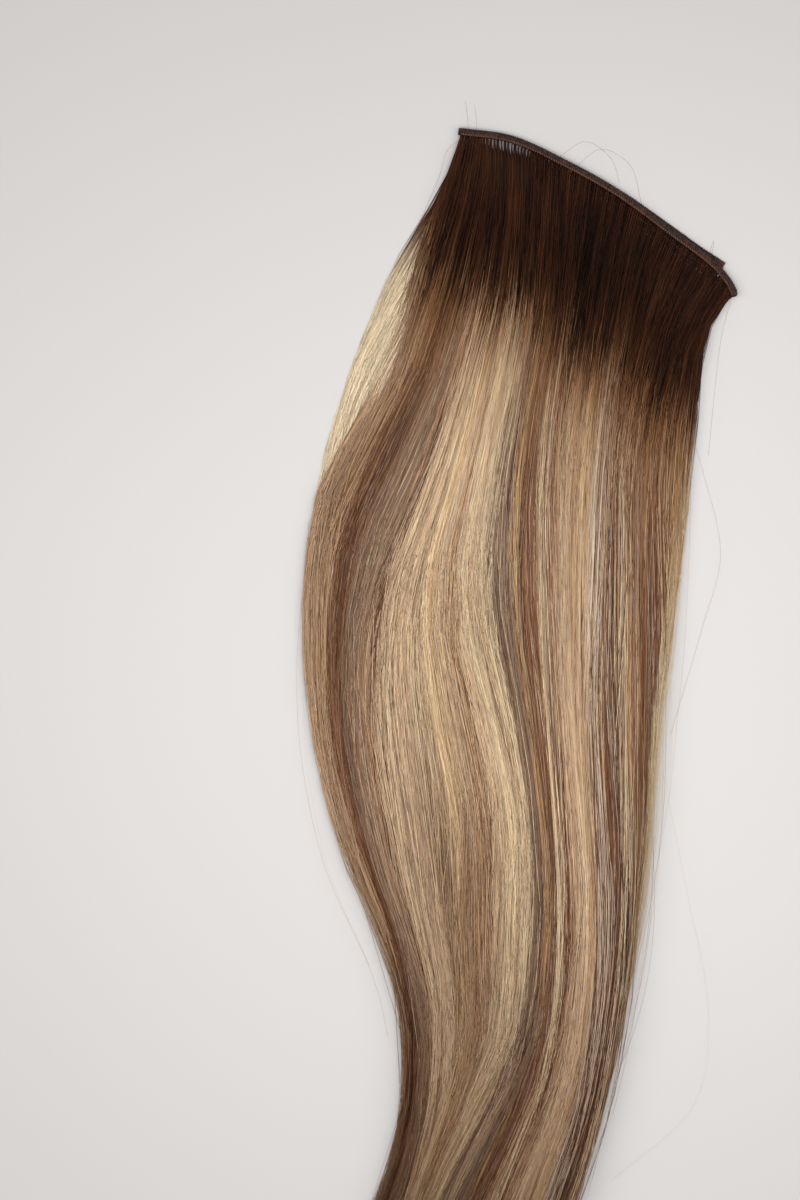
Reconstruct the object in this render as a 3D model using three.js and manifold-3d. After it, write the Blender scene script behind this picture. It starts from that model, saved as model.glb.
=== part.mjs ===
// Hair weft: a narrow sewn band, folded once, with a curtain of long straight hair on each half.
// Millimetres, +Z up. The weft lies flat, as laid out on a table: +Y points along the hair to the
// band, +X to the right, and the origin is on the table under the middle of its outline.

import * as THREE from 'three';
import { mergeVertices } from 'three/addons/utils/BufferGeometryUtils.js';
import Module from 'manifold-3d';

const wasm = await Module();
wasm.setup();

// Driving sizes
const HAIR_LENGTH = 610;
const BAND_WIDTH = 3.4;
const BAND_THICKNESS = 1.1;
const FOLD_GAP = 0.4;
const ROOT_GAP = 0.3;
const LAYER_GAP = 0.5;

// Distance from the band over which the roots follow its curve
const ROOT_REACH = 60;

// Root strip that the locks of one curtain are fused to
const STRIP_DEPTH = 6;
const STRIP_THICKNESS = 1.0;
const STRIP_STEPS = 30;

// Locks: where they start inside the root strip, how they overlap and how they end
const LOCK_START = 3;
const LOCK_STEPS = 16;
const LOCK_OVERLAP = 0.14;
const LOCK_STAGGER = 0.8;
const STAGGER_REACH = 60;
const TAPER_REACH = 75;
const TIP_WIDTH = 0.34;
const TIP_RISE = 0.5;
const NARROWEST_LOCK = 11;

// Smoothness of the band
const RUN_STEPS = 36;
const FOLD_STEPS = 8;

// Middle line of each half of the band in plan, from the fold to its cut end
const FOLD_END = [[-29.2, 330.5], [-4, 326.7], [23, 314.6]];
const UPPER_RUN = [...FOLD_END, [50, 299.4], [76, 280.3], [98.3, 263.5], [109, 251]];
const LOWER_RUN = [...FOLD_END, [50, 299.8], [76, 281.8], [91, 271], [102.9, 263.3]];

// Six guide strands, from the left edge of the curtain to its right edge: the share of the band's
// run at which each one is sewn in
const GUIDE_ROOTS = { left: 0.005, fan: 0.11, cream: 0.21, rust: 0.33, ash: 0.65, right: 0.995 };

// Places of the guides, in that order, on sections across the hair, by distance from the band
const SECTIONS = [
  { along: 25, places: [[-38, 305], [-12, 301], [3, 296], [20, 288], [58, 261], [96, 228]] },
  { along: 75, places: [[-63, 263], [-18, 252], [-1, 247], [16, 239], [49, 212], [90, 179]] },
  { along: 150, places: [[-89, 193], [-41, 181], [-14, 173], [5, 165], [41, 137], [84, 104]] },
  { along: 225, places: [[-106, 119], [-69, 112], [-19, 99], [2, 90], [39, 62], [76, 30]] },
  { along: 300, places: [[-105, 45], [-71, 38], [-4, 25], [12, 16], [42, -13], [65, -44]] },
  { along: 375, places: [[-89, -28], [-61, -36], [6, -49], [18, -59], [42, -87], [50, -118]] },
  { along: 450, places: [[-61, -97], [-44, -109], [-4, -123], [8, -133], [31, -162], [31, -190]] },
  { along: 525, places: [[-58, -171], [-52, -182], [-39, -189], [-21, -202], [7, -233], [9, -261]] },
  { along: 610, places: [[-90, -249], [-82, -258], [-67, -265], [-50, -282], [-19, -313], [-11, -341]] },
];

// Height of the lower curtain, and of the upper one above it, by distance from the band
const RISES = [
  { along: 0, lower: 0.8, upper: 0.8 },
  { along: 75, lower: 2.6, upper: 2.6 },
  { along: 225, lower: 4.2, upper: 4.6 },
  { along: 450, lower: 5.0, upper: 6.0 },
  { along: 610, lower: 2.2, upper: 2.6 },
];

// Locks of each curtain: the guides that bound them (0 is the left edge, 5 the right one), the
// length they have lost at the tip, and their share of the curtain's rise
const UPPER_LOCKS = [
  { from: 0, to: 0.5, shorter: 22, share: 0.75 },
  { from: 0.5, to: 1, shorter: 4, share: 0.9 },
  { from: 1, to: 1.35, shorter: 30, share: 1 },
  { from: 1.35, to: 1.7, shorter: 10, share: 0.92 },
  { from: 1.7, to: 2.1, shorter: 24, share: 1 },
  { from: 2.1, to: 2.9, shorter: 0, share: 0.94 },
  { from: 2.9, to: 3.35, shorter: 18, share: 1 },
  { from: 3.35, to: 3.8, shorter: 6, share: 0.9 },
  { from: 3.8, to: 4.25, shorter: 26, share: 1 },
  { from: 4.25, to: 4.65, shorter: 8, share: 0.86 },
  { from: 4.65, to: 5, shorter: 12, share: 0.7 },
];
const LOWER_LOCKS = [
  { from: 0, to: 0.75, shorter: 6, share: 0.85 },
  { from: 0.75, to: 1.2, shorter: 20, share: 1 },
  { from: 1.2, to: 1.6, shorter: 2, share: 0.92 },
  { from: 1.6, to: 2.3, shorter: 26, share: 1 },
  { from: 2.3, to: 3.1, shorter: 10, share: 0.94 },
  { from: 3.1, to: 3.7, shorter: 22, share: 1 },
  { from: 3.7, to: 4.4, shorter: 0, share: 0.92 },
  { from: 4.4, to: 5, shorter: 2, share: 0.8 },
];

// Upper outline of a lock's section: place across it, from right to left, and share of its height
const LOCK_ARCH = [
  { across: 1, height: 0 },
  { across: 0.76, height: 0.62 },
  { across: 0.3, height: 0.96 },
  { across: -0.3, height: 0.96 },
  { across: -0.76, height: 0.62 },
  { across: -1, height: 0 },
];

const LAST_GUIDE = Object.keys(GUIDE_ROOTS).length - 1;
const { lerp, smoothstep } = THREE.MathUtils;
const UP = new THREE.Vector3(0, 0, 1);

// Smooth plan curve through a short list of places
function planCurve(places) {
  return new THREE.CatmullRomCurve3(places.map(([x, y]) => new THREE.Vector3(x, y, 0)));
}

const upperRun = planCurve(UPPER_RUN);
const lowerRun = planCurve(LOWER_RUN);

// Direction in plan from a run of the band to its hair
function hairSide(run, share) {
  return run.getTangentAt(share).cross(UP);
}

// Place of a root, just clear of the band's hair edge
function rootPlace(run, share) {
  const reach = BAND_WIDTH / 2 + ROOT_GAP;
  return run.getPointAt(share).addScaledVector(hairSide(run, share), reach);
}

// Share of the band's run at which the hair of a guide number is sewn in
function rootShare(guide) {
  const roots = Object.values(GUIDE_ROOTS);
  const before = Math.min(Math.floor(guide), roots.length - 2);
  return lerp(roots[before], roots[before + 1], guide - before);
}

// Row of a table by distance from the band: the row before a distance, and the share of the way on
function rowBefore(rows, along) {
  const next = rows.findIndex((row, number) => number > 0 && row.along >= along);
  const [a, b] = [rows[next - 1].along, rows[next].along];
  return { before: next - 1, share: (along - a) / (b - a) };
}

// The guide strands of the curtain on one run of the band, as curves from the band to the tips
function guideCurves(run) {
  return Object.values(GUIDE_ROOTS).map((share, column) => {
    const places = SECTIONS.map((section) => new THREE.Vector3(...section.places[column], 0));
    return new THREE.CatmullRomCurve3([rootPlace(run, share), ...places]);
  });
}

// Place in plan of the hair at a guide number and a distance from the band, on a smooth section
// through the guides that is drawn to the curve of the band at the roots
function hairPlace(run, guides, guide, along) {
  const sectionAt = (distance) => {
    const { before, share } = rowBefore([{ along: 0 }, ...SECTIONS], distance);
    const section = guides.map((curve) => curve.getPoint((before + share) / SECTIONS.length));
    return new THREE.CatmullRomCurve3(section).getPoint(guide / LAST_GUIDE);
  };
  const drawn = rootPlace(run, rootShare(guide)).sub(sectionAt(0));
  return sectionAt(along).addScaledVector(drawn, 1 - smoothstep(along, 0, ROOT_REACH));
}

// Height read from the table of rises
function riseAt(along, layer) {
  const { before, share } = rowBefore(RISES, along);
  return lerp(RISES[before][layer], RISES[before + 1][layer], share);
}

// Closed solid lofted through rings with equal numbers of points, with a flat fan on each end
function loft(rings) {
  const points = rings.flat();
  const size = rings[0].length;
  const faces = [];
  for (let ring = 0; ring < rings.length - 1; ring += 1) {
    for (let k = 0; k < size; k += 1) {
      const [a, b] = [ring * size + k, ring * size + (k + 1) % size];
      faces.push(a, b, b + size, a, b + size, a + size);
    }
  }
  const last = points.length - size;
  for (let k = 1; k < size - 1; k += 1) {
    faces.push(0, k + 1, k, last, last + k, last + k + 1);
  }
  const geometry = new THREE.BufferGeometry().setFromPoints(points);
  geometry.setIndex(faces);
  return geometry;
}

// Solid for joining, made from a closed geometry
function solid(geometry) {
  const bare = mergeVertices(geometry);
  const vertProperties = new Float32Array(bare.attributes.position.array);
  const triVerts = new Uint32Array(bare.index.array);
  return new wasm.Manifold(new wasm.Mesh({ numProp: 3, vertProperties, triVerts }));
}

// Geometry of a joined solid
function geometryOf(body) {
  const mesh = body.getMesh();
  const geometry = new THREE.BufferGeometry();
  geometry.setAttribute('position', new THREE.BufferAttribute(mesh.vertProperties, 3));
  geometry.setIndex(new THREE.BufferAttribute(mesh.triVerts, 1));
  return geometry;
}

// Rectangle across the band at a place, with its thickness along a normal
function bandRing(place, side, normal) {
  const corners = [[-1, -1], [1, -1], [1, 1], [-1, 1]];
  return corners.map(([s, n]) => place.clone()
    .addScaledVector(side, s * BAND_WIDTH / 2)
    .addScaledVector(normal, n * BAND_THICKNESS / 2));
}

// The band: its lower half, a tight turn at the fold, and its upper half
function weftBand() {
  const lowerHeight = BAND_THICKNESS / 2;
  const turnRadius = (BAND_THICKNESS + FOLD_GAP) / 2;
  const rings = [];
  for (let step = 0; step <= RUN_STEPS; step += 1) {
    const share = 1 - step / RUN_STEPS;
    const place = lowerRun.getPointAt(share).setZ(lowerHeight);
    rings.push(bandRing(place, hairSide(lowerRun, share), UP));
  }
  const side = hairSide(upperRun, 0);
  const outward = upperRun.getTangentAt(0).negate();
  const centre = upperRun.getPointAt(0).setZ(lowerHeight + turnRadius);
  for (let step = 1; step < FOLD_STEPS; step += 1) {
    const angle = Math.PI * step / FOLD_STEPS;
    const inward = UP.clone().multiplyScalar(Math.cos(angle));
    inward.addScaledVector(outward, -Math.sin(angle));
    rings.push(bandRing(centre.clone().addScaledVector(inward, -turnRadius), side, inward));
  }
  const down = UP.clone().negate();
  for (let step = 0; step <= RUN_STEPS; step += 1) {
    const share = step / RUN_STEPS;
    const place = upperRun.getPointAt(share).setZ(lowerHeight + 2 * turnRadius);
    rings.push(bandRing(place, hairSide(upperRun, share), down));
  }
  return loft(rings);
}

// Thin strip along the band that holds the roots of one curtain
function rootStrip(run, guides, base) {
  const rings = [];
  for (let step = 0; step <= STRIP_STEPS; step += 1) {
    const guide = LAST_GUIDE * step / STRIP_STEPS;
    const near = hairPlace(run, guides, guide, 0);
    const far = hairPlace(run, guides, guide, STRIP_DEPTH);
    rings.push([
      near.clone().setZ(base + STRIP_THICKNESS),
      far.clone().setZ(base + STRIP_THICKNESS),
      far.clone().setZ(base),
      near.clone().setZ(base),
    ]);
  }
  return loft(rings);
}

// One lock: an arched section swept down the hair, narrowing to its own tip
function lock(run, guides, row, layer, baseAt) {
  const length = HAIR_LENGTH - row.shorter;
  const overlap = (row.to - row.from) * LOCK_OVERLAP;
  const [from, to] = [Math.max(0, row.from - overlap), Math.min(LAST_GUIDE, row.to + overlap)];
  const rings = [];
  for (let step = 0; step <= LOCK_STEPS; step += 1) {
    const along = lerp(LOCK_START, length, step / LOCK_STEPS);
    const taper = smoothstep(along, length - TAPER_REACH, length);
    const left = hairPlace(run, guides, from, along);
    const right = hairPlace(run, guides, to, along);
    const middle = left.clone().lerp(right, 0.5);
    const across = right.clone().sub(left);
    const full = across.length();
    const least = NARROWEST_LOCK * smoothstep(along, 0, STAGGER_REACH);
    const half = Math.max(full, least) / 2 * lerp(1, TIP_WIDTH, taper);
    const rise = riseAt(along, layer) * row.share * lerp(1, TIP_RISE, taper);
    across.setLength(half);
    rings.push(LOCK_ARCH.map((point) => middle.clone()
      .addScaledVector(across, point.across)
      .setZ(baseAt(along) + rise * point.height)));
  }
  return loft(rings);
}

// A curtain: its locks fused to the root strip
function curtain(run, rows, layer, baseAt) {
  const guides = guideCurves(run);
  let whole = solid(rootStrip(run, guides, baseAt(0, 0)));
  rows.forEach((row, number) => {
    whole = whole.add(solid(lock(run, guides, row, layer, (along) => baseAt(along, number))));
  });
  return geometryOf(whole);
}

// The lower curtain lies flat on the table
function lowerHair() {
  return curtain(lowerRun, LOWER_LOCKS, 'lower', () => 0);
}

// The upper curtain lies clear of the lower one, every other lock a little higher
function upperHair() {
  const start = BAND_THICKNESS + FOLD_GAP;
  const baseAt = (along, number) => {
    const lowerRise = riseAt(along, 'lower') - riseAt(0, 'lower');
    const gap = LAYER_GAP * smoothstep(along, 0, STRIP_DEPTH);
    const stagger = (number % 2) * LOCK_STAGGER * smoothstep(along, 0, STAGGER_REACH);
    return start + lowerRise + gap + stagger;
  };
  return curtain(upperRun, UPPER_LOCKS, 'upper', baseAt);
}

const cloth = new THREE.MeshStandardMaterial({ color: 0x382a26, roughness: 0.85, metalness: 0 });
const hair = new THREE.MeshStandardMaterial({ color: 0xa07c5c, roughness: 0.45, metalness: 0 });
const shadedHair = new THREE.MeshStandardMaterial({ color: 0x8a684b, roughness: 0.5, metalness: 0 });

function piece(name, geometry, material) {
  const mesh = new THREE.Mesh(geometry, material);
  mesh.name = name;
  return mesh;
}

const weft = new THREE.Group();
weft.add(piece('weft_band', weftBand(), cloth));
weft.add(piece('lower_hair', lowerHair(), shadedHair));
weft.add(piece('upper_hair', upperHair(), hair));

export default weft;
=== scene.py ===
import math

import bpy
import numpy as np
from bpy.props import EnumProperty, FloatProperty, FloatVectorProperty, IntProperty, PointerProperty
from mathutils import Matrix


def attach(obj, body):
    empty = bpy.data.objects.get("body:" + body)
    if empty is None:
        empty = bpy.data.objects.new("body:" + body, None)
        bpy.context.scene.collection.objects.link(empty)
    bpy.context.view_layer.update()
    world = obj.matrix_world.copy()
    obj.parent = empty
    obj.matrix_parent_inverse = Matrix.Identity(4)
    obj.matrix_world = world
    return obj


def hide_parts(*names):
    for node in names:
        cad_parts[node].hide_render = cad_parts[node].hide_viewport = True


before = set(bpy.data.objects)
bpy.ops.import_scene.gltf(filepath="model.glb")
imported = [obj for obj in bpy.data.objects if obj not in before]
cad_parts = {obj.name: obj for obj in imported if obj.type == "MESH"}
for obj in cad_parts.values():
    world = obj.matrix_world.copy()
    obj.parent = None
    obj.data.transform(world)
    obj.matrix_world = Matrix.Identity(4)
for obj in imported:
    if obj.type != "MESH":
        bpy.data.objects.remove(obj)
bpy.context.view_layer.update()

bl_info = {
    "name": "Folded Hair Weft",
    "version": (1, 0, 0),
    "blender": (4, 5, 0),
    "location": "View3D > Sidebar > Hair Weft",
    "description": "Dresses a rooted hair weft: its folded sewn band, locks, strands and flyaway hairs",
    "category": "Add Mesh",
}

# Plans are in millimetres, and a mesh is in metres
MM = 0.001

# Name of the map that every strand and stitch carries: place across the weft, and along it
CHART = "OFBake"


def tabled(columns, *rows):
    """Rows of a table, each with its values by the names of the columns."""
    return [dict(zip(columns.split(), row)) for row in rows]


# Middle line of each half of the band in plan, from the fold to its cut end
FOLD_END = [(-29.2, 330.5), (-4, 326.7), (23, 314.6)]
UPPER_RUN = FOLD_END + [(50, 299.4), (76, 280.3), (98.3, 263.2), (106.9, 252), (108.2, 247.6)]
LOWER_RUN = FOLD_END + [(50, 299.8), (76, 281.8), (91, 271), (102.9, 263.3)]

# Share of the band's run at which each of the six guide strands is sewn in, from left to right
GUIDE_ROOTS = [0.0, 0.11, 0.21, 0.33, 0.65, 0.995]
LAST_GUIDE = len(GUIDE_ROOTS) - 1

# Gap between the band's edge and the sections' first places, and how far the roots follow its curve
ROOT_GAP = 0.3
ROOT_REACH = 60

# Places of the guide strands on sections across the hair, by distance from the band
SECTIONS = tabled(
    "along places",
    (25, [(-38, 305), (-12, 301), (3, 296), (20, 288), (58, 261), (94.6, 227.5)]),
    (75, [(-63, 263), (-18, 252), (-1, 247), (16, 239), (49, 212), (90, 179)]),
    (150, [(-89, 193), (-41, 181), (-14, 173), (5, 165), (41, 137), (84, 104)]),
    (225, [(-106, 119), (-69, 112), (-19, 99), (2, 90), (39, 62), (76, 30)]),
    (300, [(-105, 45), (-71, 38), (-4, 25), (12, 16), (42, -13), (65, -44)]),
    (375, [(-89, -28), (-61, -36), (6, -49), (18, -59), (42, -87), (50, -118)]),
    (450, [(-61, -97), (-44, -109), (-4, -123), (8, -133), (31, -162), (31, -190)]),
    (525, [(-58, -171), (-52, -182), (-39, -189), (-21, -202), (7, -233), (9, -261)]),
    (610, [(-90, -249), (-82, -258), (-67, -265), (-50, -282), (-19, -313), (-11, -341)]),
)

# Height of the lower curtain, and of the upper one above it, by distance from the band
RISES = tabled(
    "along lower upper",
    (0, 0.8, 0.8), (75, 2.6, 2.6), (225, 4.2, 4.6), (450, 5.0, 6.0), (610, 2.2, 2.6),
)

# Locks of each curtain: the guides that bound them, the length lost at the tip, the share of the rise
UPPER_LOCKS = tabled(
    "start end shorter share",
    (0, 0.5, 22, 0.75), (0.5, 1, 4, 0.9), (1, 1.35, 30, 1), (1.35, 1.7, 10, 0.92), (1.7, 2.1, 24, 1),
    (2.1, 2.9, 0, 0.94), (2.9, 3.35, 18, 1), (3.35, 3.8, 6, 0.9), (3.8, 4.25, 26, 1),
    (4.25, 4.65, 8, 0.86), (4.65, 5, 12, 0.7),
)
LOWER_LOCKS = tabled(
    "start end shorter share",
    (0, 0.75, 6, 0.85), (0.75, 1.2, 20, 1), (1.2, 1.6, 2, 0.92), (1.6, 2.3, 26, 1),
    (2.3, 3.1, 10, 0.94), (3.1, 3.7, 22, 1), (3.7, 4.4, 0, 0.92), (4.4, 5, 2, 0.8),
)

# How far the left edge of each curtain gives way to the right, by distance from the band
EDGE_BACK = tabled(
    "along upper lower",
    (30, 0, 0), (70, 7, 0), (93, 14, 0), (120, 17, 0), (147, 13, 0), (165, 7.5, 0), (195, 0, 1),
    (225, 0, 6), (280, 0, 10),
)

# Guide number from which the left edge no longer gives way, and the direction in plan in which it does
BACK_REACH = 1.0
GIVE_WAY = np.array([1.0, -0.2])

# How far the locks stop short of the right edge of the plan, in guide numbers, by distance from the band
FRINGE = tabled(
    "along inset",
    (50, 0), (90, 0.06), (150, 0.11), (225, 0.17), (300, 0.13), (400, 0.1), (460, 0.22),
)

# How far the top strands leave their guides, in guide numbers, by distance from the band
DRIFT_GUIDES = [0, 1.1, 2.1, 3.0, 3.95, 4.18, 5]
DRIFTS = tabled(
    "along shifts",
    (110, [0, 0, 0, 0, 0, 0, 0]), (200, [0, 0.03, -0.02, 0, 0, 0.18, 0.4]),
    (300, [0, -0.08, -0.08, -0.1, 0, 0.47, 1.0]), (400, [0, -0.08, -0.15, -0.08, -0.05, 0.62, 1.3]),
    (500, [0, 0.1, 0.1, 0.05, 0, 0.62, 1.3]),
)

# Stretches of the band, by distance from the fold, where light shows between tufts of so many stitches
OPEN_TUFTS = tabled(
    "start end stitches open",
    (9, 40, 1.4, 1), (147, 154, 1.4, 0.8), (154, 170, 1, 0),
)

# Tones across the left and the right of the weft, charted: guide number and tone
LEFT_STREAKS = [
    (0.14, "light_brown"), (0.21, "honey"), (0.29, "dark_brown"), (0.37, "brown"), (0.46, "dark_brown"),
    (0.52, "dark_brown"), (0.61, "brown"), (0.76, "ash"), (0.90, "light_brown"), (0.97, "brown"),
    (1.02, "dark_brown"), (1.08, "beige"), (1.19, "cream"), (1.28, "beige"), (1.34, "light_brown"),
    (1.43, "cream"), (1.52, "golden"), (1.59, "beige"), (1.67, "honey"), (1.78, "beige"),
    (1.90, "cream"), (1.94, "light_brown"), (2.00, "cream"), (2.14, "cream"), (2.22, "ash"),
]
RIGHT_STREAKS = [
    (2.36, "ash"), (2.51, "umber"), (2.60, "ash"), (2.70, "honey"), (2.82, "golden"), (2.94, "russet"),
    (3.03, "russet"), (3.09, "brown"), (3.21, "cream"), (3.35, "russet"), (3.43, "light_brown"),
    (3.54, "beige"), (3.65, "light_brown"), (3.75, "golden"), (3.86, "beige"), (3.93, "silver"),
    (3.99, "dark_brown"), (4.05, "russet"), (4.10, "umber"), (4.15, "cream"), (4.19, "brown"),
    (4.24, "honey"), (4.30, "brown"), (4.37, "russet"), (4.45, "russet"), (4.51, "light_brown"),
    (4.57, "brown"), (4.62, "russet"), (4.68, "honey"), (4.74, "golden"), (4.84, "cream"), (4.95, "beige"),
]

# Share of the chart, at its left, that is kept for the fair lock under the left edge
FAIR_SHARE = 0.05

# Guide number at which that lock ends in the lower curtain
FAIR_GUIDE = 0.5

# Length of hair that the chart covers, and the rims of the chart that strands and their sides keep clear of
CHART_LENGTH = SECTIONS[-1]["along"]
CHART_RIM = 0.002
SIDE_RIM = 0.0005

# Where the dark roots turn into the lengths, by distance from the band, and how much sooner at both edges
MELT = dict(start=89, fair=88, reach=27, left_sooner=30, right_sooner=15)

# Single hairs that stand off the band and the right edge: place down the chart, places in plan and heights
DRAWN_FLYAWAYS = tabled(
    "chart places heights",
    (0.13, [(-25.5, 330), (-25.8, 336), (-27, 345)], [2.4, 4, 6]),
    (0.13, [(-21, 329), (-21.4, 335), (-22.4, 343.5)], [2.4, 3.5, 5]),
    (0.13, [(19.2, 317), (32.8, 324.5), (46, 316), (50.3, 304)], [2.5, 7, 6, 3.4]),
    (0.13, [(27.8, 312), (40.3, 320.5), (55, 313), (61.3, 294)], [2.5, 8, 7, 3.6]),
    (0.13, [(-29, 327), (-36, 321), (-40, 308), (-50, 285)], [2, 3, 3, 3]),
    (0.13, [(96, 262), (97, 275), (95.5, 270), (93, 255)], [2.4, 6, 5, 3]),
    (0.13, [(48, 268), (52, 276), (63, 274), (70, 262)], [4, 6.5, 7, 5]),
    (0.2, [(106, 245), (101.5, 228), (98.5, 205), (95, 168)], [2.2, 3, 3, 2]),
    (0.3, [(86, 180), (92, 160), (101, 118), (92, 82), (76, 28)], [2, 3, 3, 2, 2]),
    (0.4, [(72, 10), (84, -50), (95, -112), (88, -157), (46, -196)], [2, 3, 3, 3, 2]),
)

# Stations of a strand: distances from the band at its root, how many more there are, and how uneven these are
ROOT_STATIONS = [-1.2, 1.5, 5, 9, 20, 42]
LONG_STATIONS = 13
UNEVEN = 0.4

# Corners of a strand seen along it, and the range of a wave's start
STRAND_SIDES = 3
PHASE = (0, 6.3)


# Helpers of the plan

def smoothstep(value, low, high):
    """Smooth share of the way from low to high, from 0 to 1."""
    share = np.clip((value - low) / (high - low), 0, 1)
    return share * share * (3 - 2 * share)


def read_table(rows, column, along):
    """A table's column at distances from the band, straight between its rows."""
    return np.interp(along, [row["along"] for row in rows], [row[column] for row in rows])


def curve_through(places, at):
    """Points on a smooth curve through places, at numbers that count from 0 at the first place."""
    places = np.asarray(places, float)
    at = np.asarray(at, float)
    before = 2 * places[:1] - places[1:2]
    after = 2 * places[-1:] - places[-2:-1]
    knots = np.concatenate([before, places, after])
    span = np.clip(np.floor(at).astype(int), 0, len(places) - 2)
    share = (at - span).reshape((-1,) + (1,) * (places.ndim - 1))
    a, b, c, d = (knots[span + step] for step in range(4))

    def stride(start, end):
        return np.sqrt(np.linalg.norm(end - start, axis=-1, keepdims=True)) + 1e-9

    ab, bc, cd = stride(a, b), stride(b, c), stride(c, d)
    leave = bc * ((b - a) / ab - (c - a) / (ab + bc) + (c - b) / bc)
    reach = bc * ((c - b) / bc - (d - b) / (bc + cd) + (d - c) / cd)
    squared = share * share
    cubed = squared * share
    return (
        (2 * cubed - 3 * squared + 1) * b
        + (cubed - 2 * squared + share) * leave
        + (3 * squared - 2 * cubed) * c
        + (cubed - squared) * reach
    )


class BandRun:
    """One half of the band in plan, read by its share of the way from the fold to the cut end."""

    SAMPLES = 600

    def __init__(self, places):
        self.points = curve_through(places, np.linspace(0, len(places) - 1, self.SAMPLES))
        steps = np.linalg.norm(np.diff(self.points, axis=0), axis=1)
        travelled = np.concatenate([[0], np.cumsum(steps)])
        self.length = travelled[-1]
        self.shares = travelled / self.length
        slopes = np.gradient(self.points, travelled, axis=0)
        self.slopes = slopes / np.linalg.norm(slopes, axis=1, keepdims=True)

    def read(self, values, share):
        """Values along the run, straight between its samples."""
        columns = [np.interp(share, self.shares, values[:, axis]) for axis in range(2)]
        return np.stack(columns, axis=-1)

    def place(self, share):
        """Place of the middle line."""
        return self.read(self.points, share)

    def direction(self, share):
        """Direction of the run, away from the fold."""
        return self.read(self.slopes, share)

    def hair_side(self, share):
        """Direction from the run to its hair."""
        slope = self.direction(share)
        return np.stack([slope[..., 1], -slope[..., 0]], axis=-1)

    def heading(self, share):
        """Angle of the run in plan."""
        slope = self.direction(share)
        return np.arctan2(slope[..., 1], slope[..., 0])


class HairPlan:
    """The lie of the hair of one curtain in plan, by guide number and distance from the band."""

    GUIDE_SAMPLES = 251
    ALONG_SAMPLES = 245
    LEAST_BREADTH = 4

    def __init__(self, run, band_width):
        self.run = run
        self.root_reach = band_width / 2 + ROOT_GAP
        rows = [self.root_place(np.array(GUIDE_ROOTS))]
        rows += [np.array(section["places"], float) for section in SECTIONS]
        alongs = [0] + [section["along"] for section in SECTIONS]
        self.reach = alongs[-1]
        self.guides = np.linspace(0, LAST_GUIDE, self.GUIDE_SAMPLES)
        self.alongs = np.linspace(0, self.reach, self.ALONG_SAMPLES)
        sections = curve_through(np.array(rows), np.interp(self.alongs, alongs, range(len(alongs))))
        grid = curve_through(sections.transpose(1, 0, 2), self.guides)
        drawn = self.root_place(self.root_share(self.guides)) - grid[:, 0]
        pull = 1 - smoothstep(self.alongs, 0, ROOT_REACH)
        self.grid = grid + drawn[:, None] * pull[None, :, None]

    def root_share(self, guide):
        """Share of the run at which the hair of a guide number is sewn in."""
        return np.interp(guide, range(len(GUIDE_ROOTS)), GUIDE_ROOTS)

    def root_place(self, share):
        """Place just clear of the band's hair edge."""
        return self.run.place(share) + self.run.hair_side(share) * self.root_reach

    def place(self, guide, along):
        """Place of the hair. A distance below zero runs back into the band."""
        across = np.clip(guide, 0, LAST_GUIDE) / LAST_GUIDE * (self.GUIDE_SAMPLES - 1)
        down = np.clip(along, 0, self.reach) / self.reach * (self.ALONG_SAMPLES - 1)
        i = np.minimum(across.astype(int), self.GUIDE_SAMPLES - 2)
        j = np.minimum(down.astype(int), self.ALONG_SAMPLES - 2)
        a = (across - i)[..., None]
        d = (down - j)[..., None]
        near = self.grid[i, j] * (1 - d) + self.grid[i, j + 1] * d
        far = self.grid[i + 1, j] * (1 - d) + self.grid[i + 1, j + 1] * d
        inside = np.minimum(along, 0)[..., None] * self.run.hair_side(self.root_share(guide))
        return near * (1 - a) + far * a + inside

    def rightward(self, guide, along):
        """Direction in plan to the right of the hair, square to its flow."""
        step = 2.0
        ahead = np.clip(along + step, step, self.reach)
        down = self.place(guide, ahead) - self.place(guide, ahead - step)
        down = down / np.linalg.norm(down, axis=-1, keepdims=True)
        return np.stack([-down[..., 1], down[..., 0]], axis=-1)

    def breadth(self, guide, along):
        """Width of the hair for one guide number, square to its flow."""
        step = 0.02
        middle = np.clip(guide, step, LAST_GUIDE - step)
        across = self.place(middle + step, along) - self.place(middle - step, along)
        width = (across * self.rightward(guide, along)).sum(axis=-1) / (2 * step)
        return np.maximum(width, self.LEAST_BREADTH)


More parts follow.
